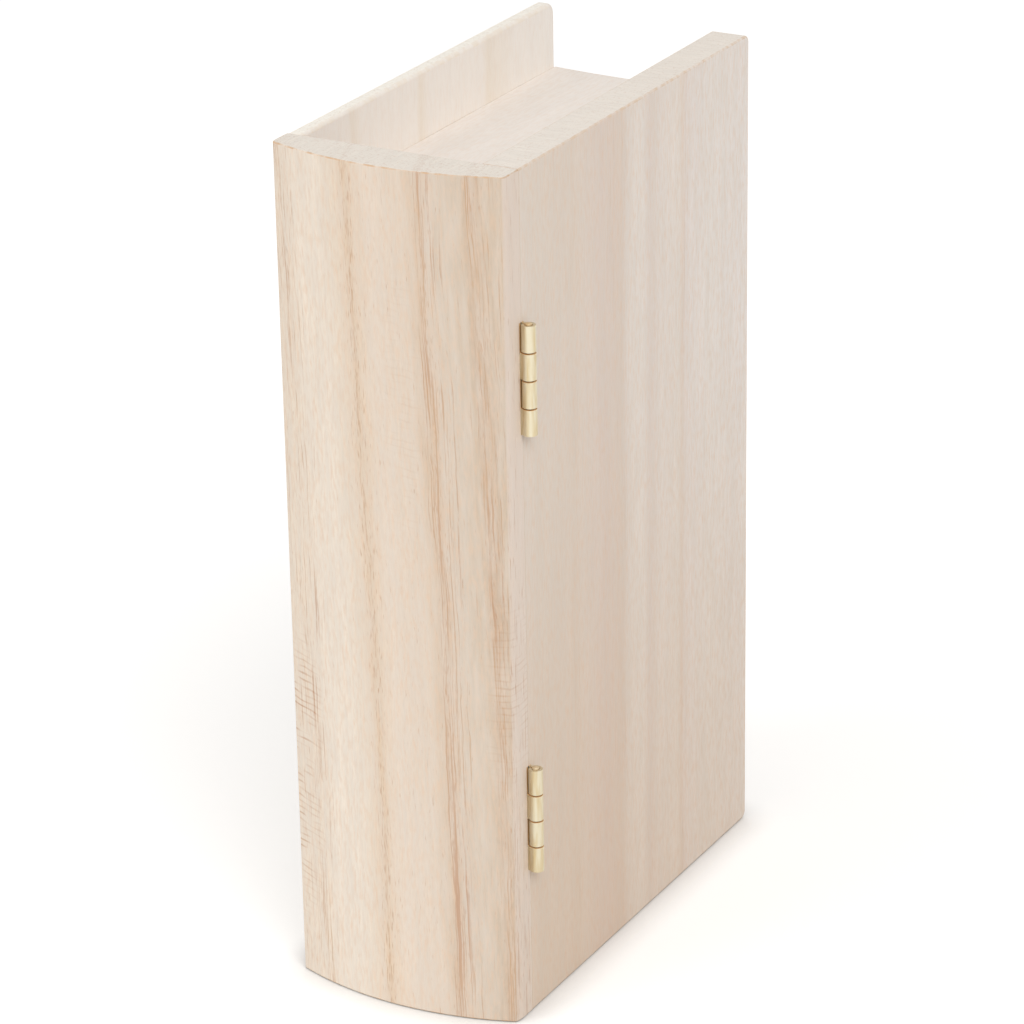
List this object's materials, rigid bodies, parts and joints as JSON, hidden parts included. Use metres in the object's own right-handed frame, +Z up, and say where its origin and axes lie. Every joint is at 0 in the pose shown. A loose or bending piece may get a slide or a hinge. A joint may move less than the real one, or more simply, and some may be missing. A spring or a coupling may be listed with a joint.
{
  "type": "book-shaped wooden box",
  "caption": "Upright wooden keepsake box shaped like a closed book, with a convex spine block, a recessed page block and a thick front cover that opens as a lid on brass hinges.",
  "frame": {"origin": "centre of the bottom of the bounding box, on the surface that the box stands on", "axes": "+Z up from tail to head, +X from the spine to the fore edge, -Y out of the front cover"},
  "size_m": [0.1386, 0.0662, 0.22],
  "materials": {
    "spine_paulownia": "bare sanded paulownia, cream with orange-brown pore streaks along the spine",
    "cover_paulownia": "bare sanded paulownia, pinkish grey with faint straight grain",
    "page_paulownia": "bare sanded paulownia, pale with faint grain",
    "hinge_brass": "pale polished brass plate",
    "magnet_nickel": "bright nickel plate"
  },
  "bodies": {
    "case": {"spine_block": "spine_paulownia", "back_cover": "cover_paulownia", "tail_wall": "page_paulownia", "head_wall": "page_paulownia", "fore_edge_wall": "page_paulownia", "wall_magnet": "magnet_nickel", "lower_spine_leaf": "hinge_brass", "lower_hinge_pin": "hinge_brass", "lower_spine_tack_1": "hinge_brass", "lower_spine_tack_2": "hinge_brass", "upper_spine_leaf": "hinge_brass", "upper_hinge_pin": "hinge_brass", "upper_spine_tack_1": "hinge_brass", "upper_spine_tack_2": "hinge_brass"},
    "lid": {"front_cover": "cover_paulownia", "lid_magnet": "magnet_nickel", "lower_lid_leaf": "hinge_brass", "lower_lid_tack_1": "hinge_brass", "lower_lid_tack_2": "hinge_brass", "upper_lid_leaf": "hinge_brass", "upper_lid_tack_1": "hinge_brass", "upper_lid_tack_2": "hinge_brass"}
  },
  "joints": [
    {"name": "lid_hinge", "type": "hinge", "parent": "case", "child": "lid", "pos_m": [-0.05615, -0.0313, 0.11], "axis": [0, 0, -1], "range_deg": [0, 200]}
  ]
}
